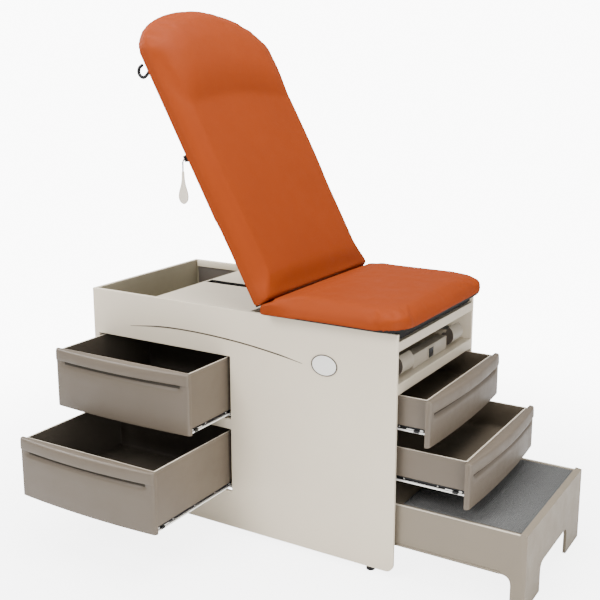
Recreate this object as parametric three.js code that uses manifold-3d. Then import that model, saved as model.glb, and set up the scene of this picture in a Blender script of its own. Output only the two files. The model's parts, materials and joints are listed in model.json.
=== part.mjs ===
// Medical exam table: a sheet-metal cabinet with side and foot drawers, a pull-out step and
// leg extension, stowed stirrups, a fixed seat cushion and a hinged backrest on a gas spring.
// Millimetres. x runs from the head end to the foot end, y across (the side drawers open
// towards -y) and z up from the floor.
import * as THREE from 'three';
import * as BufferGeometryUtils from 'three/addons/utils/BufferGeometryUtils.js';
import Module from 'manifold-3d';

const wasm = await Module();
wasm.setup();

// ---- driving dimensions ----
const GAP = 0.3; // between touching pieces
const CABINET_LENGTH = 1181;
const CABINET_WIDTH = 600;
const PANEL_THICKNESS = 12;
const PANEL_BOTTOM = 20;
const PANEL_TOP = 778;
const INNER_Y = CABINET_WIDTH / 2 - PANEL_THICKNESS - GAP;

const BULKHEAD_X = 600; // between the side drawer bay and the foot bay
const BULKHEAD_TOP = 640;
const TRAY_END_X = 276.5;
const TRAY_FLOOR_Z = 640;
const DECK_END_X = 660;
const DECK_THICKNESS = 12;
const SLOT_WIDTH = 38; // for the gas spring
const DECK_BRIDGE = 8; // joins the deck's two halves at the head end

const DRAWER_FRONT_THICKNESS = 16;
const DRAWER_BOW = 12;
const DRAWER_LIP_HEIGHT = 38;
const DRAWER_LIP_OUT = 8;
const DRAWER_WALL = 7;
const RAIL_HEIGHT = 16;
const RAIL_WIDTH = 18;

const SIDE_DRAWER = {
  middleX: 303, width: 556, frontHeight: 201, boxWidth: 536, boxBottom: 15, boxTop: 198, depth: 470,
};
const SIDE_DRAWER_ROWS = [
  { name: 'upper', frontBottom: 414, opened: 217, openingBottom: 403, openingTop: 618 },
  { name: 'lower', frontBottom: 158, opened: 395, openingBottom: 148, openingTop: 368 },
];
const SIDE_OPENING_X = [22, 584];

const FOOT_DRAWER = {
  width: 572, frontHeight: 144, boxWidth: 536, boxBottom: 48, boxTop: 141, depth: 470,
};
const FOOT_DRAWER_ROWS = [
  { name: 'upper', frontBottom: 443, opened: 103 },
  { name: 'lower', frontBottom: 280, opened: 232 },
];

const SHELF_TOP = 623;
const SHELF_FRONT_BOTTOM = 589;
const SHELF_BACK_X = 830;
const RAIL_TOP = 753;
const RAIL_BOTTOM = 723;

const STEP_TOP = 235;
const STEP_HALF_WIDTH = 275;
const STEP_OPENED = 407;
const STEP_TAIL = 90; // stays inside the cabinet
const STEP_WALL = 10;
const STEP_SIDE_BOTTOM = 103;
const STEP_FRONT_BOTTOM = 94;
const STEP_LEG_LENGTH = 45;
const STEP_LEG_WIDTH = 140;
const STEP_NOSING = 20;
const BASE_RAIL_WIDTH = 26; // the step's sides slide along its top

const CUSHION_WIDTH = 695;
const CUSHION_TOP = 846;
const CUSHION_THICKNESS = 59.2;
const SEAT_FRONT_X = 1216;
const SEAT_CORNER = 79;
const SEAT_CORNER_START_Y = 222; // clear of the hinge
const BOARD_THICKNESS = 8;
const BOARD_INSET = 22;

const HINGE_X = 740;
const HINGE_Z = 812;
const BACK_TILT = THREE.MathUtils.degToRad(61.2); // 0 is level with the seat
const BACK_START = 9; // from the hinge axis to the cushion's lower end
const BACK_LENGTH = 1036;
const BACK_ROUNDING = 175;
const HINGE_PIN_RADIUS = 4;
const HINGE_EYE_RADIUS = 8.5;
const HINGE_PLATE_Y = 200;
const HINGE_PLATE = 6;

const HANDLE = { along: 530, y: 338, behind: 14, stemRadius: 3.2 };
const HOOK = { along: 835, y: 316 };

const SPRING_BASE = { x: 740, z: 650 };
const SPRING_ON_BACK = { along: 400, behind: 60 }; // from the hinge axis
const SPRING_CYLINDER_RADIUS = 13;
const SPRING_CYLINDER_LENGTH = 250;
const SPRING_ROD_RADIUS = 5;

const STIRRUP_Y = 195;
const STIRRUP_PIVOT = { x: 1136, z: 661 };
const CUP_RADIUS = 34;
const CUP_WIDTH = 82;

// The model's origin is under the middle of its bounding box, on the floor.
const ORIGIN = new THREE.Vector3(794, -183.75, 0);

const CABINET_PAINT = { color: 0xcdc6bc, roughness: 0.42, metalness: 0.0 };
const DRAWER_PLASTIC = { color: 0x9b9286, roughness: 0.5, metalness: 0.0 };
const DARK_LINER = { color: 0x4a4439, roughness: 0.6, metalness: 0.0 };
const STEP_RUBBER = { color: 0x878785, roughness: 0.85, metalness: 0.0 };
const VINYL = { color: 0xb35a28, roughness: 0.5, metalness: 0.0 };
const BLACK_BOARD = { color: 0x1b1a19, roughness: 0.7, metalness: 0.0 };
const BLACK_STEEL = { color: 0x161616, roughness: 0.4, metalness: 0.6 };
const WHITE_STEEL = { color: 0xe4e2dd, roughness: 0.35, metalness: 0.3 };
const BRIGHT_STEEL = { color: 0xb9bbbe, roughness: 0.25, metalness: 1.0 };
const BEIGE_PLASTIC = { color: 0xd7d0c4, roughness: 0.45, metalness: 0.0 };

// ---- geometry helpers ----
function toManifold(geometry) {
  const bare = geometry.clone();
  bare.deleteAttribute('normal');
  bare.deleteAttribute('uv');
  const merged = BufferGeometryUtils.mergeVertices(bare, 1e-3);
  return new wasm.Manifold(new wasm.Mesh({
    numProp: 3,
    vertProperties: new Float32Array(merged.attributes.position.array),
    triVerts: new Uint32Array(merged.index.array),
  }));
}

function fromManifold(solid) {
  const mesh = solid.getMesh();
  const geometry = new THREE.BufferGeometry();
  geometry.setAttribute('position', new THREE.BufferAttribute(new Float32Array(mesh.vertProperties), 3));
  geometry.setIndex(new THREE.BufferAttribute(new Uint32Array(mesh.triVerts), 1));
  geometry.computeVertexNormals();
  return geometry;
}

function cut(geometry, ...tools) {
  let solid = toManifold(geometry);
  for (const tool of tools) solid = solid.subtract(toManifold(tool));
  return fromManifold(solid);
}

function join(first, ...others) {
  let solid = toManifold(first);
  for (const other of others) solid = solid.add(toManifold(other));
  return fromManifold(solid);
}

function block([x0, x1], [y0, y1], [z0, z1]) {
  const geometry = new THREE.BoxGeometry(x1 - x0, y1 - y0, z1 - z0);
  return geometry.translate((x0 + x1) / 2, (y0 + y1) / 2, (z0 + z1) / 2);
}

// A shape drawn in x and z, given thickness along y from y0 to y1.
function slabY(shape, y0, y1, curveSegments = 8) {
  const options = { depth: y1 - y0, bevelEnabled: false, curveSegments };
  return new THREE.ExtrudeGeometry(shape, options).rotateX(Math.PI / 2).translate(0, y1, 0);
}

// A shape drawn in x and y, given thickness along z from z0 to z1.
function slabZ(shape, z0, z1, curveSegments = 8) {
  const options = { depth: z1 - z0, bevelEnabled: false, curveSegments };
  return new THREE.ExtrudeGeometry(shape, options).translate(0, 0, z0);
}

function polygon(points) {
  return new THREE.Shape(points.map(([x, y]) => new THREE.Vector2(x, y)));
}

function hole(x, y, radius) {
  return new THREE.Path().absarc(x, y, radius, 0, 2 * Math.PI, true);
}

function rodAlong(points, radius, steps, sides = 10) {
  const curve = new THREE.CatmullRomCurve3(points, false, 'centripetal');
  const section = new THREE.Shape().absarc(0, 0, radius, 0, 2 * Math.PI);
  const options = { steps, extrudePath: curve, curveSegments: sides / 2 };
  return new THREE.ExtrudeGeometry(section, options);
}

function cylinderY(x, y0, y1, z, radius, sides = 20) {
  const geometry = new THREE.CylinderGeometry(radius, radius, y1 - y0, sides);
  return geometry.translate(x, (y0 + y1) / 2, z);
}

function piece(name, geometry, finish) {
  const mesh = new THREE.Mesh(geometry, new THREE.MeshStandardMaterial(finish));
  mesh.name = name;
  return mesh;
}

const SIDES = [['near', -1], ['far', 1]];
const ordered = (a, b) => [Math.min(a, b), Math.max(a, b)];

// ---- cabinet ----
function sidePanelOutline() {
  const footCorner = 25;
  const shape = new THREE.Shape();
  shape.moveTo(0, PANEL_BOTTOM);
  shape.lineTo(CABINET_LENGTH - footCorner, PANEL_BOTTOM);
  shape.absarc(CABINET_LENGTH - footCorner, PANEL_BOTTOM + footCorner, footCorner, -Math.PI / 2, 0);
  shape.lineTo(CABINET_LENGTH, PANEL_TOP);
  shape.lineTo(0, PANEL_TOP);
  shape.closePath();
  return shape;
}

function addSidePanels(group) {
  const near = sidePanelOutline();
  const [x0, x1] = SIDE_OPENING_X;
  for (const row of SIDE_DRAWER_ROWS) {
    const corners = [[x0, row.openingBottom], [x0, row.openingTop], [x1, row.openingTop], [x1, row.openingBottom]];
    near.holes.push(new THREE.Path(corners.map(([x, z]) => new THREE.Vector2(x, z))));
  }
  const outer = CABINET_WIDTH / 2;
  group.add(piece('near_side_panel', slabY(near, -outer, -outer + PANEL_THICKNESS), CABINET_PAINT));
  group.add(piece('far_side_panel', slabY(sidePanelOutline(), outer - PANEL_THICKNESS, outer), CABINET_PAINT));
}

function addCrossPanels(group) {
  const across = [-INNER_Y, INNER_Y];
  group.add(piece('head_panel', block([0, PANEL_THICKNESS], across, [PANEL_BOTTOM, PANEL_TOP]), CABINET_PAINT));
  const bulkhead = block([BULKHEAD_X, BULKHEAD_X + PANEL_THICKNESS], across, [STEP_SIDE_BOTTOM, BULKHEAD_TOP]);
  group.add(piece('centre_bulkhead', bulkhead, CABINET_PAINT));
  const railX = [CABINET_LENGTH - 18, CABINET_LENGTH];
  group.add(piece('foot_rail', block(railX, across, [RAIL_BOTTOM, RAIL_TOP]), CABINET_PAINT));
  const beam = block([HINGE_X + 12, HINGE_X + 48], across, [735, PANEL_TOP - GAP]);
  group.add(piece('hinge_beam', beam, WHITE_STEEL));
}

function addDeckAndTray(group) {
  const trayStart = PANEL_THICKNESS + GAP;
  const wall = 4;
  const outside = block([trayStart, TRAY_END_X], [-INNER_Y, INNER_Y], [TRAY_FLOOR_Z, PANEL_TOP - 1]);
  const inside = block(
    [trayStart + wall, TRAY_END_X - wall],
    [-INNER_Y + wall, INNER_Y - wall],
    [TRAY_FLOOR_Z + wall, PANEL_TOP + 10],
  );
  group.add(piece('head_tray', cut(outside, inside), DARK_LINER));
  const deckStart = TRAY_END_X + GAP;
  const halfSlot = SLOT_WIDTH / 2;
  const deck = polygon([
    [deckStart, -INNER_Y], [DECK_END_X, -INNER_Y], [DECK_END_X, -halfSlot], [deckStart + DECK_BRIDGE, -halfSlot],
    [deckStart + DECK_BRIDGE, halfSlot], [DECK_END_X, halfSlot], [DECK_END_X, INNER_Y], [deckStart, INNER_Y],
  ]);
  group.add(piece('deck_panel', slabZ(deck, PANEL_TOP - DECK_THICKNESS, PANEL_TOP), CABINET_PAINT));
}

function addBase(group) {
  const pad = [[0, 0], [13, 0], [14, 2], [14, 8], [6, 12], [5, 12], [5, PANEL_BOTTOM - GAP], [0, PANEL_BOTTOM - GAP]];
  const profile = pad.map(([radius, z]) => new THREE.Vector2(radius, z));
  for (const [side, sign] of SIDES) {
    const railY = ordered(sign * (INNER_Y - BASE_RAIL_WIDTH), sign * INNER_Y);
    const railX = [PANEL_THICKNESS + GAP, CABINET_LENGTH - STEP_LEG_LENGTH - 33];
    const railZ = [PANEL_BOTTOM, STEP_SIDE_BOTTOM - 0.5];
    group.add(piece(`${side}_base_rail`, block(railX, railY, railZ), WHITE_STEEL));
    for (const [end, x] of [['head', 60], ['foot', CABINET_LENGTH - 87]]) {
      const foot = piece(`${side}_${end}_leveler`, new THREE.LatheGeometry(profile, 20).rotateX(Math.PI / 2), BLACK_STEEL);
      foot.position.set(x, sign * (INNER_Y - BASE_RAIL_WIDTH / 2), 0);
      group.add(foot);
    }
  }
}

function addStirrupBay(group) {
  const front = CABINET_LENGTH;
  const shelf = polygon([
    [SHELF_BACK_X, SHELF_TOP - 12], [front - 14, SHELF_TOP - 12], [front - 14, SHELF_FRONT_BOTTOM],
    [front, SHELF_FRONT_BOTTOM], [front, SHELF_TOP], [SHELF_BACK_X, SHELF_TOP],
  ]);
  group.add(piece('stirrup_shelf', slabY(shelf, -INNER_Y, INNER_Y), CABINET_PAINT));
  const boxFace = front - 25;
  const housing = block([boxFace - 35, boxFace], [-130, 130], [SHELF_TOP + GAP, SHELF_TOP + 46]);
  group.add(piece('socket_housing', housing, CABINET_PAINT));
  const socket = block([boxFace + GAP, boxFace + 4], [-17, 17], [SHELF_TOP + 12, SHELF_TOP + 34]);
  group.add(piece('power_socket', socket, BLACK_STEEL));
}

function addBadge(group) {
  const plate = new THREE.Shape().absellipse(0, 0, 46, 34, 0, 2 * Math.PI);
  const badge = piece('blank_badge', slabY(plate, -2.5, 0, 12), WHITE_STEEL);
  badge.position.set(937, -CABINET_WIDTH / 2 - GAP, 646);
  group.add(badge);
}

// ---- drawers ----
// A drawer is drawn with its front across x, opening towards -y, from the front's lower edge up.
function bowedOutline(width, bow, thickness) {
  const shape = new THREE.Shape();
  shape.moveTo(-width / 2, thickness);
  shape.lineTo(-width / 2, 0);
  shape.quadraticCurveTo(0, -2 * bow, width / 2, 0);
  shape.lineTo(width / 2, thickness);
  shape.closePath();
  return shape;
}

function drawer(name, size) {
  const group = new THREE.Group();
  const thickness = DRAWER_FRONT_THICKNESS;
  const face = slabZ(bowedOutline(size.width, DRAWER_BOW, thickness), 0, size.frontHeight);
  const lipOutline = bowedOutline(size.width, DRAWER_BOW + DRAWER_LIP_OUT, thickness);
  const lip = slabZ(lipOutline, size.frontHeight - DRAWER_LIP_HEIGHT, size.frontHeight);
  group.add(piece(`${name}_front`, join(face, lip), DRAWER_PLASTIC));

  const half = size.boxWidth / 2;
  const boxStart = thickness + GAP;
  const outside = block([-half, half], [boxStart, size.depth], [size.boxBottom, size.boxTop]);
  const inside = block(
    [-half + DRAWER_WALL, half - DRAWER_WALL],
    [boxStart + DRAWER_WALL, size.depth - DRAWER_WALL],
    [size.boxBottom + DRAWER_WALL, size.boxTop + 10],
  );
  group.add(piece(`${name}_box`, cut(outside, inside), DRAWER_PLASTIC));

  const railTop = size.boxBottom - GAP;
  const rails = [-1, 1].map((sign) => {
    const outer = sign * half;
    const section = polygon([
      [outer, railTop], [outer - sign * RAIL_WIDTH, railTop], [outer - sign * RAIL_WIDTH, railTop - 3],
      [outer - sign * 5, railTop - 3], [outer - sign * 5, railTop - RAIL_HEIGHT], [outer, railTop - RAIL_HEIGHT],
    ]);
    return slabY(section, boxStart + 4, size.depth - 4);
  });
  const strap = block([-half + 5, half - 5], [size.depth - 44, size.depth - 4], [railTop - 3, railTop]);
  group.add(piece(`${name}_slides`, join(strap, ...rails), WHITE_STEEL));
  return group;
}

// The fixed tracks of one side of a bay: one angle for each drawer, joined by an upright at the back.
function drawerTracks(rows, size, wallFace, sign, length) {
  const angles = rows.map((row) => {
    const under = row.frontBottom + size.boxBottom - RAIL_HEIGHT - 1;
    const section = polygon([
      [wallFace, under + 14], [wallFace - sign * 2.5, under + 14], [wallFace - sign * 2.5, under],
      [size.boxWidth / 2 * sign - sign * 12, under], [size.boxWidth / 2 * sign - sign * 12, under - 2.5],
      [wallFace, under - 2.5],
    ]);
    return slabY(section, 0, length);
  });
  const lowest = rows.at(-1).frontBottom;
  const upright = block(ordered(wallFace, wallFace - sign * 2.5), [length - 60, length - 20], [lowest, rows[0].frontBottom + 30]);
  return join(upright, ...angles);
}

function addDrawers(group) {
  for (const row of SIDE_DRAWER_ROWS) {
    const unit = drawer(`side_drawer_${row.name}`, SIDE_DRAWER);
    unit.position.set(SIDE_DRAWER.middleX, -CABINET_WIDTH / 2 - row.opened, row.frontBottom);
    group.add(unit);
  }
  for (const row of FOOT_DRAWER_ROWS) {
    const unit = drawer(`foot_drawer_${row.name}`, FOOT_DRAWER);
    unit.rotation.z = Math.PI / 2;
    unit.position.set(CABINET_LENGTH + row.opened, 0, row.frontBottom);
    group.add(unit);
  }
  const sideFaces = [
    ['head', -1, PANEL_THICKNESS + GAP - SIDE_DRAWER.middleX],
    ['foot', 1, BULKHEAD_X - GAP - SIDE_DRAWER.middleX],
  ];
  for (const [end, sign, wallFace] of sideFaces) {
    const tracks = drawerTracks(SIDE_DRAWER_ROWS, SIDE_DRAWER, wallFace, sign, 540);
    const mesh = piece(`side_bay_${end}_tracks`, tracks, WHITE_STEEL);
    mesh.position.set(SIDE_DRAWER.middleX, -CABINET_WIDTH / 2 + PANEL_THICKNESS + GAP, 0);
    group.add(mesh);
  }
  for (const [side, sign] of SIDES) {
    const tracks = drawerTracks(FOOT_DRAWER_ROWS, FOOT_DRAWER, sign * INNER_Y, sign, 540);
    const mesh = piece(`foot_bay_${side}_tracks`, tracks, WHITE_STEEL);
    mesh.rotation.z = Math.PI / 2;
    mesh.position.set(CABINET_LENGTH - DRAWER_FRONT_THICKNESS - 2, 0, 0);
    group.add(mesh);
  }
}

// ---- pull-out step, drawn with its front face at x = 0 ----
function step() {
  const group = new THREE.Group();
  const length = STEP_OPENED + STEP_TAIL;
  const half = STEP_HALF_WIDTH;
  const side = new THREE.Shape();
  side.moveTo(0, 1);
  side.lineTo(0, STEP_TOP);
  side.lineTo(-length, STEP_TOP);
  side.lineTo(-length, STEP_SIDE_BOTTOM);
  side.lineTo(-STEP_LEG_LENGTH - 30, STEP_SIDE_BOTTOM);
  side.quadraticCurveTo(-STEP_LEG_LENGTH, STEP_SIDE_BOTTOM, -STEP_LEG_LENGTH, STEP_SIDE_BOTTOM - 30);
  side.lineTo(-STEP_LEG_LENGTH, 1);
  side.closePath();
  const hollow = block([-length - 10, -STEP_WALL], [-half + STEP_WALL, half - STEP_WALL], [-10, STEP_TOP - STEP_WALL]);
  const between = half - STEP_LEG_WIDTH;
  const frontArch = new THREE.Shape();
  frontArch.moveTo(-between, -10);
  frontArch.lineTo(-between, STEP_FRONT_BOTTOM - 30);
  frontArch.quadraticCurveTo(-between, STEP_FRONT_BOTTOM, -between + 30, STEP_FRONT_BOTTOM);
  frontArch.lineTo(between - 30, STEP_FRONT_BOTTOM);
  frontArch.quadraticCurveTo(between, STEP_FRONT_BOTTOM, between, STEP_FRONT_BOTTOM - 30);
  frontArch.lineTo(between, -10);
  frontArch.closePath();
  const arch = slabY(frontArch, -10, 10).rotateZ(Math.PI / 2).scale(6, 1, 1);
  const shell = cut(slabY(side, -half, half), hollow, arch);
  const nosing = slabY(polygon([[-STEP_NOSING, STEP_TOP - 5], [0, STEP_TOP - 5], [0, STEP_TOP + 5], [-STEP_NOSING, STEP_TOP + 8]]), -half, half);
  group.add(piece('step_body', join(shell, nosing), DRAWER_PLASTIC));
  const tread = block([-STEP_OPENED + 12, -STEP_NOSING - 2], [-half + 18, half - 18], [STEP_TOP + GAP, STEP_TOP + 3]);
  group.add(piece('step_tread', tread, STEP_RUBBER));
  return group;
}

function addStep(group) {
  const unit = step();
  unit.position.x = CABINET_LENGTH + STEP_OPENED;
  group.add(unit);
}

// ---- seat ----
function seatOutline(start, end, half, corner) {
  const shape = new THREE.Shape();
  shape.moveTo(start, -half);
  shape.lineTo(end - corner, -half);
  shape.absarc(end - corner, -half + corner, corner, -Math.PI / 2, 0);
  shape.absarc(end - corner, half - corner, corner, 0, Math.PI / 2);
  shape.lineTo(start, half);
  shape.closePath();
  return shape;
}

function addSeat(group) {
  const bottom = CUSHION_TOP - CUSHION_THICKNESS;
  const half = CUSHION_WIDTH / 2;
  const blank = slabZ(seatOutline(HINGE_X + 25.5, SEAT_FRONT_X, half, SEAT_CORNER), bottom, CUSHION_TOP);
  const clearForBack = polygon([
    [HINGE_X, CUSHION_TOP + 1], [HINGE_X + 25.2, CUSHION_TOP + 1], [HINGE_X + 36.5, HINGE_Z],
    [HINGE_X + 36.5, bottom - 1], [HINGE_X, bottom - 1],
  ]);
  const cushion = cut(blank, slabY(clearForBack, -half - 5, half + 5));
  group.add(piece('seat_cushion', cushion, VINYL));

  // The pad's rear corners reach back beside the hinge, under the backrest's lower end. Nothing in
  // them passes the plane that this end turns in, from level to fully raised.
  const reach = BACK_START - 0.8;
  const raised = THREE.MathUtils.degToRad(71);
  const along = (distance) => [
    HINGE_X - reach * Math.cos(raised) + distance * Math.sin(raised),
    HINGE_Z + reach * Math.sin(raised) + distance * Math.cos(raised),
  ];
  const corner = [[HINGE_X - reach, bottom], [HINGE_X + 36.5 - GAP, bottom], [HINGE_X + 36.5 - GAP, HINGE_Z]];
  corner.push(along(31), along(0), [HINGE_X - reach * Math.cos(raised / 2), HINGE_Z + reach * Math.sin(raised / 2)]);
  corner.push([HINGE_X - reach, HINGE_Z]);
  for (const [side, sign] of SIDES) {
    const cornerY = ordered(sign * SEAT_CORNER_START_Y, sign * half);
    group.add(piece(`${side}_seat_corner`, slabY(polygon(corner), ...cornerY), VINYL));
  }
  const boardTop = bottom - GAP;
  const boardHalf = CABINET_WIDTH / 2 - 4;
  const outline = seatOutline(HINGE_X + 50, SEAT_FRONT_X - BOARD_INSET, boardHalf, 50);
  group.add(piece('seat_board', slabZ(outline, boardTop - BOARD_THICKNESS, boardTop), BLACK_BOARD));
}

function addLegExtension(group) {
  const board = block([HINGE_X + 52, CABINET_LENGTH - 8], [-284, 284], [756, 776]);
  group.add(piece('leg_extension', board, BLACK_BOARD));
}

// ---- backrest, drawn level with the hinge axis at the origin and the head end towards -x ----
function backOutline(start, length, half, rounding) {
  const shape = new THREE.Shape();
  shape.moveTo(-start, half);
  shape.lineTo(-start - length + rounding, half);
  shape.absellipse(-start - length + rounding, 0, rounding, half, Math.PI / 2, 1.5 * Math.PI);
  shape.lineTo(-start, -half);
  shape.closePath();
  return shape;
}

function hingeArm() {
  const under = CUSHION_TOP - CUSHION_THICKNESS - HINGE_Z - BOARD_THICKNESS - 2 * GAP;
  const r = HINGE_EYE_RADIUS;
  const shape = new THREE.Shape();
  shape.moveTo(r, 0);
  shape.absarc(0, 0, r, 0, Math.PI);
  shape.lineTo(-r, under);
  shape.lineTo(-75, under);
  shape.lineTo(-75, under - 9);
  shape.lineTo(r, under - 9);
  shape.closePath();
  shape.holes.push(hole(0, 0, HINGE_PIN_RADIUS + 0.5));
  return shape;
}

function releaseHandle() {
  const stem = rodAlong([
    new THREE.Vector3(0, 36, 0), new THREE.Vector3(0, 24, 0), new THREE.Vector3(0, 13, 0),
    new THREE.Vector3(0, 1, -9), new THREE.Vector3(0, 0, -30), new THREE.Vector3(0, 0, -72),
  ], HANDLE.stemRadius, 16, 8);
  const paddle = new THREE.Shape();
  paddle.moveTo(-5, -60);
  paddle.quadraticCurveTo(-7, -80, -17, -95);
  paddle.quadraticCurveTo(-21, -140, 0, -143);
  paddle.quadraticCurveTo(21, -140, 17, -95);
  paddle.quadraticCurveTo(7, -80, 5, -60);
  paddle.closePath();
  return join(stem, slabY(paddle, -5, 5, 5));
}

function paperHook() {
  return rodAlong([
    new THREE.Vector3(0, 0, 0), new THREE.Vector3(-14, 0, -17), new THREE.Vector3(-30, 0, -24),
    new THREE.Vector3(-45, 0, -13), new THREE.Vector3(-44, 0, 4), new THREE.Vector3(-32, 0, 14),
  ], 3.5, 22, 8);
}

function addBackrest(group) {
  const back = new THREE.Group();
  back.position.set(HINGE_X, 0, HINGE_Z);
  back.rotation.y = BACK_TILT;
  const face = CUSHION_TOP - HINGE_Z;
  const rear = face - CUSHION_THICKNESS;
  const half = CUSHION_WIDTH / 2;
  const cushion = slabZ(backOutline(BACK_START, BACK_LENGTH, half, BACK_ROUNDING), rear, face, 16);
  back.add(piece('back_cushion', cushion, VINYL));
  const boardTop = rear - GAP;
  const boardRounding = BACK_ROUNDING - BOARD_INSET;
  const boardLength = BACK_LENGTH - BOARD_INSET;
  const outline = backOutline(BACK_START, boardLength, half - BOARD_INSET, boardRounding);
  const boardBottom = boardTop - BOARD_THICKNESS;
  const handleZ = boardBottom - HANDLE.behind;
  let board = slabZ(outline, boardBottom, boardTop, 16);
  for (const [, sign] of SIDES) {
    const lug = block([-HANDLE.along - 10, -HANDLE.along + 10], ordered(sign * 303, sign * 323), [handleZ - 8, boardTop - 1]);
    const bore = cylinderY(-HANDLE.along, ...ordered(sign * 290, sign * 330), handleZ, HANDLE.stemRadius + 0.6, 12);
    board = cut(join(board, lug), bore);
  }
  back.add(piece('back_board', board, BLACK_BOARD));

  const socketY = SPRING_CYLINDER_RADIUS - 1;
  const cheekShape = polygon([
    [-SPRING_ON_BACK.along - 26, boardBottom - GAP], [-SPRING_ON_BACK.along + 26, boardBottom - GAP],
    [-SPRING_ON_BACK.along + 12, -SPRING_ON_BACK.behind - 12], [-SPRING_ON_BACK.along - 12, -SPRING_ON_BACK.behind - 12],
  ]);
  const bracket = cut(
    slabY(cheekShape, -socketY, socketY),
    block([-SPRING_ON_BACK.along - 40, -SPRING_ON_BACK.along + 40], [-socketY + 3, socketY - 3], [-90, boardBottom - 4]),
  );
  back.add(piece('spring_bracket', bracket, BLACK_STEEL));

  for (const [side, sign] of SIDES) {
    const armY = ordered(sign * (HINGE_PLATE_Y + HINGE_PLATE + 0.5), sign * (HINGE_PLATE_Y + 2 * HINGE_PLATE + 0.5));
    back.add(piece(`${side}_hinge_arm`, slabY(hingeArm(), ...armY), BLACK_STEEL));
    const hook = piece(`${side}_paper_hook`, paperHook(), BLACK_STEEL);
    hook.position.set(-HOOK.along, sign * HOOK.y, boardBottom - 4.5);
    hook.rotation.y = -BACK_TILT;
    back.add(hook);
    const handle = piece(`${side}_release_handle`, releaseHandle(), BEIGE_PLASTIC);
    handle.position.set(-HANDLE.along, sign * HANDLE.y, handleZ);
    handle.rotation.set(0, -BACK_TILT, sign < 0 ? 0 : Math.PI, 'YZX');
    back.add(handle);
  }
  group.add(back);

  for (const [side, sign] of SIDES) {
    const r = HINGE_EYE_RADIUS;
    const plate = new THREE.Shape();
    plate.moveTo(12 - GAP, 740);
    plate.lineTo(12 - GAP, 770);
    plate.lineTo(r, 785);
    plate.lineTo(r, HINGE_Z);
    plate.absarc(0, HINGE_Z, r, 0, Math.PI);
    plate.lineTo(-r, 740);
    plate.closePath();
    plate.holes.push(hole(0, HINGE_Z, HINGE_PIN_RADIUS + GAP));
    const plateY = ordered(sign * HINGE_PLATE_Y, sign * (HINGE_PLATE_Y + HINGE_PLATE));
    const bracketPlate = piece(`${side}_hinge_bracket`, slabY(plate, ...plateY), BLACK_STEEL);
    bracketPlate.position.x = HINGE_X;
    group.add(bracketPlate);
  }
  const pinHalf = HINGE_PLATE_Y + 2 * HINGE_PLATE + 6;
  group.add(piece('hinge_rod', cylinderY(HINGE_X, -pinHalf, pinHalf, HINGE_Z, HINGE_PIN_RADIUS), BRIGHT_STEEL));
}

// ---- gas spring, drawn upright with its lower pivot at the origin ----
function addGasSpring(group) {
  const back = new THREE.Vector2(-SPRING_ON_BACK.along, -SPRING_ON_BACK.behind);
  const topX = HINGE_X + back.x * Math.cos(BACK_TILT) + back.y * Math.sin(BACK_TILT);
  const topZ = HINGE_Z - back.x * Math.sin(BACK_TILT) + back.y * Math.cos(BACK_TILT);
  const reach = Math.hypot(topX - SPRING_BASE.x, topZ - SPRING_BASE.z);
  const lean = Math.atan2(topX - SPRING_BASE.x, topZ - SPRING_BASE.z);
  const spring = new THREE.Group();
  spring.position.set(SPRING_BASE.x, 0, SPRING_BASE.z);
  spring.rotation.y = lean;

  const eye = join(cylinderY(0, -5, 5, 0, 11), block([-9, 9], [-5, 5], [6, 34]));
  const barrel = new THREE.CylinderGeometry(SPRING_CYLINDER_RADIUS, SPRING_CYLINDER_RADIUS, SPRING_CYLINDER_LENGTH, 24)
    .rotateX(Math.PI / 2).translate(0, 0, 30 + SPRING_CYLINDER_LENGTH / 2);
  const bore = new THREE.CylinderGeometry(SPRING_ROD_RADIUS + 0.4, SPRING_ROD_RADIUS + 0.4, SPRING_CYLINDER_LENGTH, 16)
    .rotateX(Math.PI / 2).translate(0, 0, 45 + SPRING_CYLINDER_LENGTH / 2);
  const baseBore = cylinderY(0, -20, 20, 0, 4.6);
  spring.add(piece('gas_spring_cylinder', cut(join(eye, barrel), bore, baseBore), BLACK_STEEL));
  const rodStart = reach - 330;
  const rod = new THREE.CylinderGeometry(SPRING_ROD_RADIUS, SPRING_ROD_RADIUS, reach - rodStart, 16)
    .rotateX(Math.PI / 2).translate(0, 0, (reach + rodStart) / 2);
  spring.add(piece('gas_spring_rod', join(rod, cylinderY(0, -5, 5, reach, 9)), BRIGHT_STEEL));
  group.add(spring);

  const { x, z } = SPRING_BASE;
  const crossbar = block([x - 30, x + 30], [-INNER_Y, INNER_Y], [z - 50, z - 38]);
  const clevis = cut(
    block([x - 14, x + 14], [-12, 12], [z - 40, z + 12]),
    block([x - 20, x + 20], [-5.6, 5.6], [z - 30, z + 20]),
  );
  const pin = cylinderY(x, -14, 14, z, 4);
  group.add(piece('spring_crossbar', join(crossbar, clevis, pin), WHITE_STEEL));
}

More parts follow.
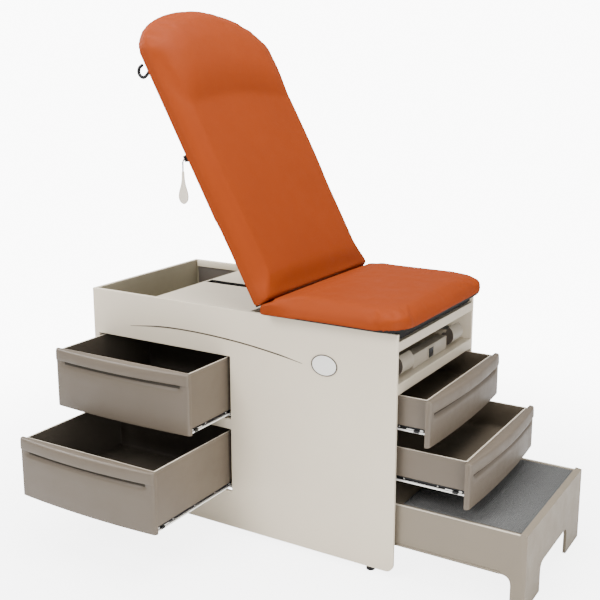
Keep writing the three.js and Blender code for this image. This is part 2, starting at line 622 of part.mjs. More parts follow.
// ---- stirrups ----
function addStirrups(group) {
  const { x, z } = STIRRUP_PIVOT;
  for (const [side, sign] of SIDES) {
    const armY = sign * (STIRRUP_Y + 58);
    const bar = block([840, x + 10], [armY - 7, armY + 7], [z - 7, z + 7]);
    group.add(piece(`${side}_stirrup_arm`, bar, WHITE_STEEL));

    const band = new THREE.Shape().absarc(0, 0, CUP_RADIUS, -0.75 * Math.PI, 0.35 * Math.PI);
    band.absarc(0, 0, CUP_RADIUS - 4, 0.35 * Math.PI, -0.75 * Math.PI, true);
    band.closePath();
    const cheek = new THREE.Shape().absarc(0, 0, CUP_RADIUS, -0.75 * Math.PI, 0.35 * Math.PI);
    cheek.absarc(0, 0, 9, 0.35 * Math.PI, 1.25 * Math.PI);
    cheek.closePath();
    const boss = cylinderY(0, ...ordered(sign * CUP_WIDTH / 2, sign * (CUP_WIDTH / 2 + 9)), 0, 6);
    const cup = piece(`${side}_stirrup_cup`, join(
      slabY(band, -CUP_WIDTH / 2, CUP_WIDTH / 2),
      slabY(cheek, -CUP_WIDTH / 2, -CUP_WIDTH / 2 + 4),
      slabY(cheek, CUP_WIDTH / 2 - 4, CUP_WIDTH / 2),
      boss,
    ), BEIGE_PLASTIC);
    cup.position.set(x, sign * STIRRUP_Y, z);
    group.add(cup);
  }
}

const table = new THREE.Group();
const cabinet = new THREE.Group();
cabinet.position.copy(ORIGIN).negate();
table.add(cabinet);
for (const add of [
  addSidePanels, addCrossPanels, addDeckAndTray, addBase, addStirrupBay, addBadge,
  addDrawers, addStep, addSeat, addLegExtension, addBackrest, addGasSpring, addStirrups,
]) add(cabinet);

export default table;
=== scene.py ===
import json
import math

import bmesh
import bpy
import numpy as np
from mathutils import Matrix, Vector

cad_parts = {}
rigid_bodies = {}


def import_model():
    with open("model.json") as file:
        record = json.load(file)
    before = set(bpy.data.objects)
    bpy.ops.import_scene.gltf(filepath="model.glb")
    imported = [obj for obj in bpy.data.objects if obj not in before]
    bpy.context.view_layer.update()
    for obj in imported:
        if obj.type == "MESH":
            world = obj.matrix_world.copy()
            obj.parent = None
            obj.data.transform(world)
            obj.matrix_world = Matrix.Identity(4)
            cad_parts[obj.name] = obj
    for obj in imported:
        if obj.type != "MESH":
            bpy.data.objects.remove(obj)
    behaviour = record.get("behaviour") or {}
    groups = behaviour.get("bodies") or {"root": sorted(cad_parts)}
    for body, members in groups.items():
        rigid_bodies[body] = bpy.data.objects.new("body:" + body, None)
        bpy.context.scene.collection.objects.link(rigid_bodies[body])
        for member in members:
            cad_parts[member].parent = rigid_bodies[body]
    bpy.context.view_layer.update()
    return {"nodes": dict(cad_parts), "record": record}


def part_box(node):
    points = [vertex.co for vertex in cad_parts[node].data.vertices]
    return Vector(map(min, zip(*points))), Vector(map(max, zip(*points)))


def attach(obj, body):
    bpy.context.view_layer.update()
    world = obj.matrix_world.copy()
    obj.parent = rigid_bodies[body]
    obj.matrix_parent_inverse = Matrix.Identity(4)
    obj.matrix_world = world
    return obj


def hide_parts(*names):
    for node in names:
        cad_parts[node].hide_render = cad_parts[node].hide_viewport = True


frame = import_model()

SCENE = bpy.context.scene
NODES = frame["nodes"]
RECORD = frame["record"]
BODY_OF = {node: body for body, nodes in RECORD["behaviour"]["bodies"].items() for node in nodes}
SLOT_OF = {part["node"]: part["material_slot"] for part in RECORD["subparts"]}
JOINTS = {joint["name"]: joint for joint in RECORD["behaviour"]["joints"]}
SIDES = (("near", -1), ("far", 1))

# ---- the cabinet's own millimetres: x from the head end, y from the middle, z from the floor ----
CABINET_LOW = Vector(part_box("near_side_panel")[0])
HALF_WIDTH = 300.0
PANEL = 12.0
MM = Matrix.Translation((CABINET_LOW.x, CABINET_LOW.y + HALF_WIDTH / 1000, 0)) @ Matrix.Scale(0.001, 4)
TO_MM = MM.inverted()


def box_mm(node):
    """A CAD node's lowest and highest corners in cabinet millimetres."""
    low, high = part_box(node)
    return TO_MM @ Vector(low), TO_MM @ Vector(high)


LENGTH = box_mm("near_side_panel")[1].x
PANEL_TOP = box_mm("near_side_panel")[1].z
INNER_Y = HALF_WIDTH - PANEL - 0.3
# The near panel's foot, and the edges of its lower and upper drawer openings.
PANEL_FOOT = 20
SIDE_BAY_X = (22, 584)
SIDE_BAY_Z = (148, 368, 403, 618)
STRIPE_POINTS = ((168, 0, 663.5), (311, 0, 678.6), (466, 0, 680.2), (630, 0, 671), (764, 0, 655.3),
                 (858, 0, 639.1))
STEP_SIDE_FOOT = 103.0
CUP_SCREWS = (1136, 195, 661)

# A drawer front's thickness, the bow of its face, its grip lip's height and how far the lip stands out.
FRONT = 16.0
BOW = 12.0
LIP = 38.0
LIP_OUT = 8.5

# The backrest's own millimetres: x is minus the distance up from the hinge, z out of its face.
TILT = math.radians(-JOINTS["backrest_tilt"]["range_deg"][0])
HINGE = Vector(JOINTS["backrest_tilt"]["pos_m"])
BACK = Matrix.Translation(HINGE) @ Matrix.Rotation(TILT, 4, "Y") @ Matrix.Scale(0.001, 4)
BACK_TO_MM = TO_MM @ BACK
BACK_FACE = 34.0
BACK_REAR = -25.2
BACK_START = 9.0
BACK_LENGTH = 1036.0
BACK_HALF = 347.5
BACK_ROUNDING = 175.0
BOARD_REAR = BACK_REAR - 8.3
HOOK_AT = (-835, 316)
HANDLE_AT = (-530, 338)
HINGE_ARM_Y = 212.5

WORLD_LIGHT = 0.55
BACKDROP = 10.0
WHITE = (1.0, 1.0, 1.0, 1.0)


# ---- materials ----
def srgb(red, green, blue):
    """A display colour, 0 to 255 a channel, as linear RGBA."""
    def linear(value):
        value /= 255
        return value / 12.92 if value <= 0.04045 else ((value + 0.055) / 1.055) ** 2.4
    return (linear(red), linear(green), linear(blue), 1.0)


def configure(thing, **values):
    for name, value in values.items():
        setattr(thing, name, value)


def add_node(tree, kind, sockets=None, **settings):
    """A shader node. Another node's output is linked to its socket, and any other value is set on it."""
    node = tree.nodes.new("ShaderNode" + kind)
    configure(node, **settings)
    for socket, value in (sockets or {}).items():
        if isinstance(value, bpy.types.NodeSocket):
            tree.links.new(value, node.inputs[socket])
        else:
            node.inputs[socket].default_value = value
    return node


def material(name, color, roughness, metallic=0.0, grain=(700, 0.0002, 0.15), cells=None,
             drift=0.05, rough_drift=0.08, edge_highlight=0.0, streak=None, gloss=0.5, brushed=False):
    """Broad colour drift, fine grain and uneven gloss, with leather cells or brushing if asked."""
    mat = bpy.data.materials.new(name)
    mat.use_nodes = True
    tree = mat.node_tree
    tree.nodes.clear()
    bsdf = add_node(tree, "BsdfPrincipled", {"Metallic": metallic, "Specular IOR Level": gloss})
    add_node(tree, "OutputMaterial", {"Surface": bsdf.outputs["BSDF"]})
    place = add_node(tree, "TexCoord").outputs["Object"]
    place_fine = place
    if brushed:
        stretch = add_node(tree, "Mapping", {"Scale": (0.06, 1.0, 1.0), "Vector": place})
        place_fine = stretch.outputs["Vector"]

    def noise(scale, detail, vector=place, rough=0.55):
        sockets = {"Scale": scale, "Detail": detail, "Roughness": rough, "Vector": vector}
        return add_node(tree, "TexNoise", sockets).outputs["Fac"]

    def spread(value, low, high, start=0.3, end=0.7):
        sockets = {"Value": value, "From Min": start, "From Max": end, "To Min": low, "To Max": high}
        return add_node(tree, "MapRange", sockets).outputs["Result"]

    def mixed(factor, first, second):
        return add_node(tree, "Mix", {0: factor, 6: first, 7: second}, data_type="RGBA").outputs[2]

    def tint(factor, lift=0.0):
        return tuple(min(1.0, channel * factor + lift) for channel in color[:3]) + (1.0,)

    darker = tint(1 - drift)
    shade = mixed(spread(noise(5, 4), 0.0, 1.0), darker, tint(1 + drift))
    shade = mixed(spread(noise(420, 3), 0.0, 0.35, 0.45, 0.75), shade, darker)
    # Convex edges are lightened towards a paler tint: a painted edge highlight.
    if edge_highlight:
        geometry = add_node(tree, "NewGeometry")
        highlight_share = spread(geometry.outputs["Pointiness"], 0.0, edge_highlight, 0.52, 0.58)
        shade = mixed(highlight_share, shade, tint(1.25, 0.02))
    if streak:
        shade = mixed(spread(noise(38, 6, rough=0.7), 0.0, streak, 0.6, 0.8), shade, darker)
    tree.links.new(shade, bsdf.inputs["Base Color"])

    smooth, dull = max(0.05, roughness - rough_drift), min(1.0, roughness + rough_drift)
    tree.links.new(spread(noise(14, 5, rough=0.65), smooth, dull), bsdf.inputs["Roughness"])

    scale, depth, strength = grain
    height = noise(scale, 4, place_fine)
    bump = add_node(tree, "Bump", {"Strength": strength, "Distance": depth, "Height": height})
    if cells:
        scale, depth, strength = cells
        wobble = add_node(tree, "TexNoise", {"Scale": scale * 0.8, "Vector": place}).outputs["Color"]
        sockets = {0: wobble, 1: (0.9 / scale,) * 3, 2: place}
        warp = add_node(tree, "VectorMath", sockets, operation="MULTIPLY_ADD").outputs["Vector"]
        voronoi = add_node(tree, "TexVoronoi", {"Scale": scale, "Vector": warp}, feature="DISTANCE_TO_EDGE")
        height = spread(voronoi.outputs["Distance"], 0.0, 1.0, 0.0, 0.22)
        sockets = {"Strength": strength, "Distance": depth, "Height": height,
                   "Normal": bump.outputs["Normal"]}
        bump = add_node(tree, "Bump", sockets)
    tree.links.new(bump.outputs["Normal"], bsdf.inputs["Normal"])
    return mat


PAINTED = {"grain": (900, 0.00025, 0.25), "drift": 0.02, "edge_highlight": 0.3, "gloss": 0.4}
SATIN = (1400, 0.0002, 0.35)
MOULDED = (1200, 0.0002, 0.3)
PAINT = material("cabinet_paint", srgb(210, 198, 177), 0.42, **PAINTED)
# A darker copy of the cabinet paint: painted shade on the foot rail and the stirrup shelf.
SHADED_PAINT = material("cabinet_paint_painted_shade", srgb(182, 171, 151), 0.42, **PAINTED)
DRAWER = material("drawer_plastic", srgb(91, 81, 69), 0.46, grain=SATIN, drift=0.03, edge_highlight=0.25, gloss=0.4)
DRAWER_INSIDE = material("drawer_inside", srgb(92, 82, 68), 0.6, grain=SATIN, drift=0.06, gloss=0.25)
# A darker copy of the drawer's inside: painted shade in the side drawers and in the hollows under the grip
# lips.
SHADED_INSIDE = material("drawer_inside_painted_shade", srgb(62, 56, 48), 0.6, grain=SATIN, drift=0.06, gloss=0.2)
# A paler copy of the drawer plastic: a painted highlight on drawer rims and on the step's bead.
RIM_HIGHLIGHT = material("rim_painted_highlight", srgb(190, 180, 163), 0.4, grain=(1400, 0.0002, 0.3), drift=0.04)
STEP = material("step_plastic", srgb(117, 107, 92), 0.5, grain=(1100, 0.0003, 0.4), drift=0.03, edge_highlight=0.3,
                streak=0.5, gloss=0.4)
LINER = material("tray_liner", srgb(136, 128, 108), 0.55, grain=(1200, 0.0003, 0.4), gloss=0.3)
RUBBER = material("step_rubber", srgb(82, 82, 81), 0.8, grain=(1600, 0.0004, 0.6), streak=0.6, gloss=0.3)
VINYL = material("upholstery_vinyl", srgb(124, 50, 15), 0.54, grain=(260, 0.0006, 0.12),
                 cells=(620, 0.00035, 0.2), drift=0.03, rough_drift=0.06, gloss=0.06)
VINYL.diffuse_color = srgb(179, 90, 40)
# Black board colour, also used as painted shade along the seat pad's lower edge.
BLACK_BOARD_AND_SHADE = material("black_board", srgb(22, 21, 20), 0.7, grain=(800, 0.0004, 0.5), drift=0.2, gloss=0.15)
# Black steel, also used as painted shade on the drawer slides' webs.
BLACK_STEEL_AND_SHADE = material("black_steel", srgb(16, 16, 17), 0.42, grain=(1500, 0.0002, 0.4), drift=0.15,
                       gloss=0.3)
WHITE_STEEL = material("white_steel", srgb(226, 224, 219), 0.34, grain=MOULDED, drift=0.03, edge_highlight=0.3)
BRIGHT_STEEL = material("bright_steel", srgb(190, 191, 194), 0.24, metallic=1.0,
                        grain=(2600, 0.0001, 0.3), brushed=True)
# The compartment's plastic colour, made darker as painted shade inside the compartment.
HOUSING_AND_SHADE = material("compartment_plastic_and_painted_shade", srgb(142, 133, 118), 0.45, grain=MOULDED, drift=0.03, edge_highlight=0.3,
                   gloss=0.4)
BEIGE = material("beige_plastic", srgb(206, 196, 180), 0.4, grain=MOULDED, drift=0.02)
# Dark plastic of the stirrup cups' cheeks, also used as painted shade on the tray's far wall.
DARK_PLASTIC_AND_SHADE = material("cup_cheek_plastic_and_painted_shade", srgb(70, 62, 54), 0.5, grain=(1200, 0.0002, 0.35))
STRIPE = material("stripe_paint", srgb(66, 54, 42), 0.4, grain=(900, 0.0001, 0.2), drift=0.08)
FINISH_OF_SLOT = {
    "cabinet_paint": PAINT, "white_steel": WHITE_STEEL, "tray_liner": LINER, "black_steel": BLACK_STEEL_AND_SHADE,
    "drawer_plastic": DRAWER, "step_rubber": RUBBER, "upholstery": VINYL, "black_board": BLACK_BOARD_AND_SHADE,
    "bright_steel": BRIGHT_STEEL, "beige_plastic": BEIGE,
}


# ---- mesh helpers ----
def mesh_object(name, bm):
    mesh = bpy.data.meshes.new(name)
    bm.to_mesh(mesh)
    bm.free()
    obj = bpy.data.objects.new(name, mesh)
    SCENE.collection.objects.link(obj)
    return obj


def add(name, bm, body, mats, replaces=(), slot=None, matrix=MM, bevel=0.0, segments=3, crease=32):
    """A finished piece from a bmesh drawn in millimetres."""
    bmesh.ops.transform(bm, matrix=matrix, verts=bm.verts)
    bmesh.ops.recalc_face_normals(bm, faces=bm.faces)
    obj = mesh_object(name, bm)
    mesh = obj.data
    for mat in (mats if isinstance(mats, list) else [mats]):
        mesh.materials.append(mat)
    mesh.polygons.foreach_set("use_smooth", [True] * len(mesh.polygons))
    mesh.set_sharp_from_angle(angle=math.radians(crease))
    if bevel:
        configure(obj.modifiers.new("Bevel", "BEVEL"), width=bevel / 1000, segments=segments,
                  limit_method="ANGLE", angle_limit=math.radians(crease), use_clamp_overlap=True,
                  miter_outer="MITER_ARC")
        configure(obj.modifiers.new("Normals", "WEIGHTED_NORMAL"), keep_sharp=False)
    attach(obj, body)
    if replaces:
        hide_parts(*replaces)
    return obj


def stand_in(node, bm, mats=None, **looks):
    """The finished piece that replaces a CAD node, on the node's own body and in its slot's finish unless
    mats are given.
    """
    slot = SLOT_OF[node]
    return add(node + "_detail", bm, BODY_OF[node], mats or FINISH_OF_SLOT[slot], (node,), slot, **looks)


def refined(node, bevel=1.2, segments=3, mats=None, extra=None, crease=32):
    """The CAD node's own shape with softened edges, and extra detail drawn into the same piece."""
    bm = bmesh.new()
    bm.from_mesh(NODES[node].data)
    bmesh.ops.transform(bm, matrix=TO_MM @ NODES[node].matrix_world, verts=bm.verts)
    bmesh.ops.remove_doubles(bm, verts=bm.verts, dist=0.01)
    bmesh.ops.dissolve_limit(bm, angle_limit=math.radians(0.6), verts=bm.verts, edges=bm.edges)
    if extra:
        extra(bm)
    stand_in(node, bm, mats, bevel=bevel, segments=segments, crease=crease)


def loft(bm, rings, cap_start=True, cap_end=True, index=0):
    """Quads between closed rings of the same number of points."""
    made = [[bm.verts.new(point) for point in ring] for ring in rings]
    faces = []
    count = len(made[0])
    for below, above in zip(made, made[1:]):
        for i in range(count):
            j = (i + 1) % count
            faces.append(bm.faces.new((below[i], below[j], above[j], above[i])))
    if cap_start:
        faces.append(bm.faces.new(tuple(reversed(made[0]))))
    if cap_end:
        faces.append(bm.faces.new(tuple(made[-1])))
    for face in faces:
        face.material_index = index
    return faces


def rounded(x0, x1, y0, y1, radius, z, steps=5):
    """A rectangle with round corners at height z."""
    points = []
    for cx, cy, start in ((x1 - radius, y1 - radius, 0), (x0 + radius, y1 - radius, 90),
                          (x0 + radius, y0 + radius, 180), (x1 - radius, y0 + radius, 270)):
        for step in range(steps + 1):
            angle = math.radians(start + 90 * step / steps)
            points.append(Vector((cx + radius * math.cos(angle), cy + radius * math.sin(angle), z)))
    return points


def turned(bm, profile, centre, axis="Z", sides=24, index=0):
    """A solid of revolution: profile is (radius, height) pairs along the axis from the centre."""
    turn = {"Z": Matrix.Identity(3), "Y": Matrix.Rotation(math.radians(-90), 3, "X"),
            "X": Matrix.Rotation(math.radians(90), 3, "Y")}[axis]
    angles = [2 * math.pi * i / sides for i in range(sides)]
    rings = []
    for radius, height in profile:
        radius = max(radius, 0.01)
        rings.append([Vector(centre) + turn @ Vector((radius * math.cos(a), radius * math.sin(a), height))
                      for a in angles])
    return loft(bm, rings, index=index)


def oval(wide, high, place, sides):
    """A closed oval: place(u, v) puts its two offsets from the middle into space."""
    angles = (2 * math.pi * i / sides for i in range(sides))
    return [place(wide * math.cos(a), high * math.sin(a)) for a in angles]


def slab(bm, x, y, z, radius=1.0, index=0, steps=2):
    """A block with its edges rounded."""
    (x0, x1), (y0, y1), (z0, z1) = x, y, z
    lower, upper = [], []
    for step in range(steps + 1):
        angle = math.pi / 2 * step / steps
        inset = radius * (1 - math.sin(angle))
        rise = radius * (1 - math.cos(angle))
        corner = max(radius - inset, 0.05)
        for rings, height in ((lower, z0 + rise), (upper, z1 - rise)):
            rings.append(rounded(x0 + inset, x1 - inset, y0 + inset, y1 - inset, corner, height, 3))
    return loft(bm, lower + upper[::-1], index=index)


def screw(bm, centre, radius=4.0, height=2.2, axis="Z", index=0):
    """A domed screw head with a round recess. A negative height points it the other way."""
    size = abs(height)
    profile = [(radius, 0), (radius, size * 0.45), (radius * 0.85, size * 0.85), (radius * 0.55, size),
               (radius * 0.48, size), (radius * 0.42, size * 0.3)]
    return turned(bm, [(r, math.copysign(h, height)) for r, h in profile], centre, axis, 18, index)


def smooth_path(points, steps):
    """Evenly spread points on a Catmull-Rom curve through the given points."""
    points = [Vector(p) for p in points]
    padded = [2 * points[0] - points[1]] + points + [2 * points[-1] - points[-2]]
    out = []
    for a, b, c, d in zip(padded, padded[1:], padded[2:], padded[3:]):
        slope, bend, twist = c - a, 2 * a - 5 * b + 4 * c - d, 3 * b - a - 3 * c + d
        for step in range(steps):
            t = step / steps
            out.append(0.5 * ((2 * b) + slope * t + bend * t ** 2 + twist * t ** 3))
    out.append(points[-1])
    return out


def swept(bm, path, radius, sides=14, index=0, side=Vector((0, 1, 0))):
    """A round section carried along a path."""
    angles = [2 * math.pi * k / sides for k in range(sides)]
    rings = []
    for i, point in enumerate(path):
        ahead = (path[min(i + 1, len(path) - 1)] - path[max(i - 1, 0)]).normalized()
        across = (side - ahead * side.dot(ahead)).normalized()
        up = ahead.cross(across)
        rings.append([point + across * (radius * math.cos(a)) + up * (radius * math.sin(a)) for a in angles])
    return loft(bm, rings, index=index)


def pierced_plate(bm, xs, zs, openings, y0, y1, corner=25.0):
    """An upright plate on a grid of x and z lines, with some cells open and its lower foot corner round."""
    grid = {(i, k): bm.verts.new((x, y0, z)) for i, x in enumerate(xs) for k, z in enumerate(zs)}
    faces = [bm.faces.new((grid[i, k], grid[i + 1, k], grid[i + 1, k + 1], grid[i, k + 1]))
             for i in range(len(xs) - 1) for k in range(len(zs) - 1) if (i, k) not in openings]
    grown = bmesh.ops.extrude_face_region(bm, geom=faces, use_keep_orig=True)["geom"]
    for vert in (item for item in grown if isinstance(item, bmesh.types.BMVert)):
        vert.co.y = y1
    lower = [edge for edge in bm.edges
             if all(abs(v.co.x - xs[-1]) < 0.01 and abs(v.co.z - zs[0]) < 0.01 for v in edge.verts)]
    bmesh.ops.bevel(bm, geom=lower, offset=corner, segments=8, profile=0.5, affect="EDGES")


# ---- cabinet ----
def build_panels():
    bm = bmesh.new()
    columns = (0, *SIDE_BAY_X, LENGTH)
    levels = (PANEL_FOOT, *SIDE_BAY_Z, PANEL_TOP)
    pierced_plate(bm, columns, levels, {(1, 1), (1, 3)}, -HALF_WIDTH, -HALF_WIDTH + PANEL)
    stand_in("near_side_panel", bm, bevel=2.2, segments=4)
    refined("far_side_panel", 2.2, 4)
    refined("head_panel", 2.2, 4)
    slot_start = box_mm("deck_panel")[0].x + 5
    slot_half = 25

    def slot_trim(bm):
        """Black trim on the slot's edges, where the gas spring passes."""
        bm.normal_update()
        for face in bm.faces:
            centre = face.calc_center_median()
            if abs(face.normal.z) < 0.5 and abs(centre.y) < slot_half and centre.x > slot_start:
                face.material_index = 1

    refined("deck_panel", 1.2, 2, mats=[PAINT, BLACK_BOARD_AND_SHADE], extra=slot_trim)
    refined("foot_rail", 2.0, 4, mats=SHADED_PAINT)
    refined("stirrup_shelf", 2.6, 4, mats=SHADED_PAINT)
    refined("centre_bulkhead", 1.2)
    refined("hinge_beam", 1.6)
    for side, _ in SIDES:
        refined(f"{side}_base_rail", 2.0)


def build_tray():
    """The storage tray at the head end, a moulded tub with a wide radius in its corners."""
    low, high = box_mm("head_tray")
    outside = ((6, low.z, 14), (1.5, low.z + 2, 16), (0, low.z + 7, 16), (0, high.z - 1.5, 5),
               (0.8, high.z, 4.5), (3.2, high.z, 4))
    inside = ((4, high.z - 1.5, 4), (4.6, low.z + 22, 9), (6.5, low.z + 11, 11), (11, low.z + 6.2, 13),
              (20, low.z + 4, 16))
    bm = bmesh.new()
    rings = [rounded(low.x + inset, high.x - inset, low.y + inset, high.y - inset, corner, z, 6)
             for inset, z, corner in outside + inside]
    # Faces along the far wall's inner side take index 1: painted shade.
    for face in loft(bm, rings):
        centre = face.calc_center_median()
        if centre.y > high.y - 12 and centre.z < high.z - 0.5 and centre.x > low.x + 12:
            face.material_index = 1
    stand_in("head_tray", bm, [LINER, DARK_PLASTIC_AND_SHADE])

    # Folded flange along the far wall's rim, over the tray.
    bm = bmesh.new()
    along = (PANEL + 9, low.x + 255)
    slab(bm, along, (INNER_Y - 9, INNER_Y - 5), (PANEL_TOP - 24, PANEL_TOP - 1.5), 1.4)
    slab(bm, along, (INNER_Y - 9, INNER_Y + 1), (PANEL_TOP - 4, PANEL_TOP - 0.6), 1.2)
    add("far_rim_flange", bm, "cabinet", PAINT, (), "cabinet_paint")


def build_stripe():
    """Thin painted stripe across the near panel's upper part, narrower at its ends."""
    path = smooth_path(STRIPE_POINTS, 10)
    root, face = -HALF_WIDTH + 0.2, -HALF_WIDTH - 0.35
    rings = []
    for i, p in enumerate(path):
        to_end = min(i, len(path) - 1 - i) / 12
        half = 2.8 * min(1.0, 0.25 + to_end)
        rings.append([Vector((p.x, y, p.z + half * share))
                      for y, share in ((root, -1), (face, -0.8), (face, 0.8), (root, 1))])
    bm = bmesh.new()
    loft(bm, rings)
    add("panel_stripe", bm, "cabinet", STRIPE, (), "cabinet_paint")


def build_badge():
    """Oval badge, left blank: a pale domed plate in a raised darker rim."""
    low, high = box_mm("blank_badge")
    middle = (low + high) / 2
    half = (high - low) / 2
    back, front = high.y, low.y
    rim = ((0.985, back), (1.0, back - 0.6), (1.0, front + 0.9), (0.985, front + 0.2), (0.96, front),
           (0.93, front + 0.2), (0.915, front + 0.9), (0.9, front + 1.0))
    dome = ((0.93, front + 1.2), (0.9, front + 0.8), (0.8, front + 0.45), (0.5, front + 0.2),
            (0.2, front + 0.1), (0.02, front + 0.1))
    bm = bmesh.new()
    for index, profile in enumerate((rim, dome)):
        loft(bm, [oval(half.x * scale, half.z * scale, lambda u, v: middle + Vector((u, y - middle.y, v)), 64)
                  for scale, y in profile], index=index)
    stand_in("blank_badge", bm, [STRIPE, WHITE_STEEL])


def build_levelers():
    """Levelling feet: a domed foot, a hex nut and a threaded stem."""
    for side, _ in SIDES:
        for end in ("head", "foot"):
            node = f"{side}_{end}_leveler"
            low, high = box_mm(node)
            centre = ((low.x + high.x) / 2, (low.y + high.y) / 2, 0)
            r = (high.x - low.x) / 2
            bm = bmesh.new()
            turned(bm, [(r - 2.5, 0), (r - 0.6, 0.5), (r, 2), (r, 6.5), (r - 0.8, 8.2), (r - 5, 10.5),
                        (7, 11.8), (5.2, 12.2)], centre, sides=28)
            turned(bm, [(8.3, 12.2), (9, 12.8), (9, 16.6), (8.3, 17.2)], centre, sides=6)
            thread = [(radius, z + rise) for z in range(11, 20) for radius, rise in ((4.4, 0), (5, 0.5))]
            turned(bm, thread, centre, sides=16)
            stand_in(node, bm)


# ---- drawers, drawn with the front across x and opening towards -y ----
def drawer_front(bm, width, top):
    """A bowed front with a rolled grip lip along its top, and a hollow under the lip whose inside is coloured
    darker as painted shade.
    """
    half = width / 2
    corner = 7.0
    turn = [math.pi / 2 * step / 5 for step in range(6)]
    end = [(-half + corner * (1 - math.cos(angle)), corner * (1 - math.sin(angle))) for angle in turn]
    inner = [(-half + corner + (width - 2 * corner) * i / 56, 0.0) for i in range(1, 56)]
    columns = end + inner + [(-x, back) for x, back in reversed(end)]
    edge = top - LIP
    rings = []
    painted_shade_columns = []
    for x, back in columns:
        u = x / half
        curve = 1 - u * u
        face = -BOW * curve + back
        out = LIP_OUT * (0.3 + 0.7 * curve)
        ends = max(0.0, min(1.0, (0.93 - abs(u)) / 0.09))
        ends = ends * ends * (3 - 2 * ends)
        deep = 10.5 * ends
        below = [(FRONT, 3.0), (FRONT - 1.0, 0.8), (FRONT - 3.0, 0.0), (face + 5.0, 0.0), (face + 2.0, 0.9),
                 (face + 0.5, 2.6), (face, 5.0), (face, edge * 0.35), (face, edge * 0.65), (face, edge - 26)]
        hollow = [(face + deep * 0.2, edge - 19), (face + deep * 0.75, edge - 13.5),
                  (face + deep, edge - 10.0), (face + deep, edge + ends)]
        lip = [(face - out * 0.7, edge + 0.6 * ends), (face - out * 0.95, edge + 1.6),
               (face - out * 1.04, edge + 5.0), (face - out * 1.04, edge + 12), (face - out * 0.9, top - 12),
               (face - out * 0.66, top - 6.0), (face - out * 0.45, top - 2.4), (face + 1.0, top - 0.4),
               (face + 5.0, top), (FRONT - 3.0, top), (FRONT - 1.0, top - 0.8), (FRONT, top - 3.0)]
        rings.append([Vector((x, min(y, FRONT), z)) for y, z in below + hollow + lip])
        painted_shade_columns.append(ends > 0.45)
    faces = loft(bm, rings)
    count = len(rings[0])
    # Where the hollow is deep, its faces take index 1, the darker colour of painted shade.
    for column, dark in enumerate(zip(painted_shade_columns, painted_shade_columns[1:])):
        if all(dark):
            for row in range(len(below) + 1, len(below) + len(hollow)):
                faces[column * count + row].material_index = 1


def drawer_box(bm, half, start, depth, bottom, top, wall=7.0):
    """A moulded tub with a rolled rim and rounded inner corners. Index 1 is its inside, index 2 its rim,
    coloured paler as a painted highlight.
    """
    def ring(inset, z, radius):
        return rounded(-half + inset, half - inset, start + inset, depth - inset, radius, z, 5)

    floor = bottom + wall
    outside = [ring(4, bottom, 5), ring(1, bottom + 1.4, 7), ring(0, bottom + 4.5, 8), ring(0.9, top - 8, 8),
               ring(0.8, top - 7.2, 8), ring(0.0, top - 6.6, 8), ring(0.0, top - 1.6, 8),
               ring(0.6, top - 0.4, 7.5)]
    rim = [outside[-1], ring(1.8, top, 7), ring(wall - 1.8, top, 4), ring(wall - 0.5, top - 0.6, 4)]
    inside = [rim[-1], ring(wall, top - 2, 4), ring(wall + 0.4, floor + 9, 7),
              ring(wall + 2.5, floor + 3.4, 9), ring(wall + 8, floor, 12), ring(wall + 40, floor, 12)]
    loft(bm, outside, cap_end=False)
    loft(bm, rim, cap_start=False, cap_end=False, index=2)
    loft(bm, inside, cap_start=False, index=1)
    bmesh.ops.remove_doubles(bm, verts=bm.verts, dist=0.001)


def drawer_slides(bm, half, depth, rail_top):
    """Slides: a web set back under the box and coloured black as painted shade, a white rolled foot, rollers,
    a black clip and rivets.
    """
    web = [(-2, 0), (-18, 0), (-18, -2.2), (-11.5, -2.2), (-11.5, -12.6), (-9.3, -12.6), (-9.3, -2.2),
           (-2, -2.2)]
    foot = [(-11.5, -12.4), (-10.8, -14.6), (-8.8, -15.6), (-1.6, -15.8), (-0.4, -15.2), (0, -14), (0, -11.4),
            (-0.6, -10.7), (-1.6, -10.7), (-2, -11.2), (-2, -13.2), (-9.2, -13.2), (-9.2, -12.4)]
    roller = [(4.4, 0), (5.2, 0.6), (5.2, 3.4), (4.4, 4.0), (1.8, 4.2), (1.6, 5.0)]
    for sign in (-1, 1):
        outer = sign * half
        web_face = outer - sign * 9.3
        # The web takes index 1, black as painted shade; the foot keeps the white steel.
        for section, index in ((web, 1), (foot, 0)):
            loft(bm, [[Vector((outer + sign * x, y, rail_top + z)) for x, z in section]
                      for y in (FRONT + 4.3, depth - 4)], index=index)
        for y in (36, depth - 60):
            turned(bm, roller, (web_face - (5.0 if sign < 0 else 0), y, rail_top - 7.2), "X", 18)
        clip, lever = (sorted((outer - sign * a, outer + sign * b)) for a, b in ((3.4, 0.5), (6, -2.6)))
        slab(bm, clip, (42, 60), (rail_top - 14.4, rail_top - 6), 0.6, 1)
        slab(bm, lever, (58, 84), (rail_top - 9.4, rail_top - 6.4), 0.5, 0)
        for y in (24, 110, 220, 330, depth - 20):
            screw(bm, (web_face, y, rail_top - 7.6), 2.4, 1.2 * sign, "X")
    slab(bm, (-half + 5, half - 5), (depth - 44, depth - 4), (rail_top - 3, rail_top - 0.2), 0.5)


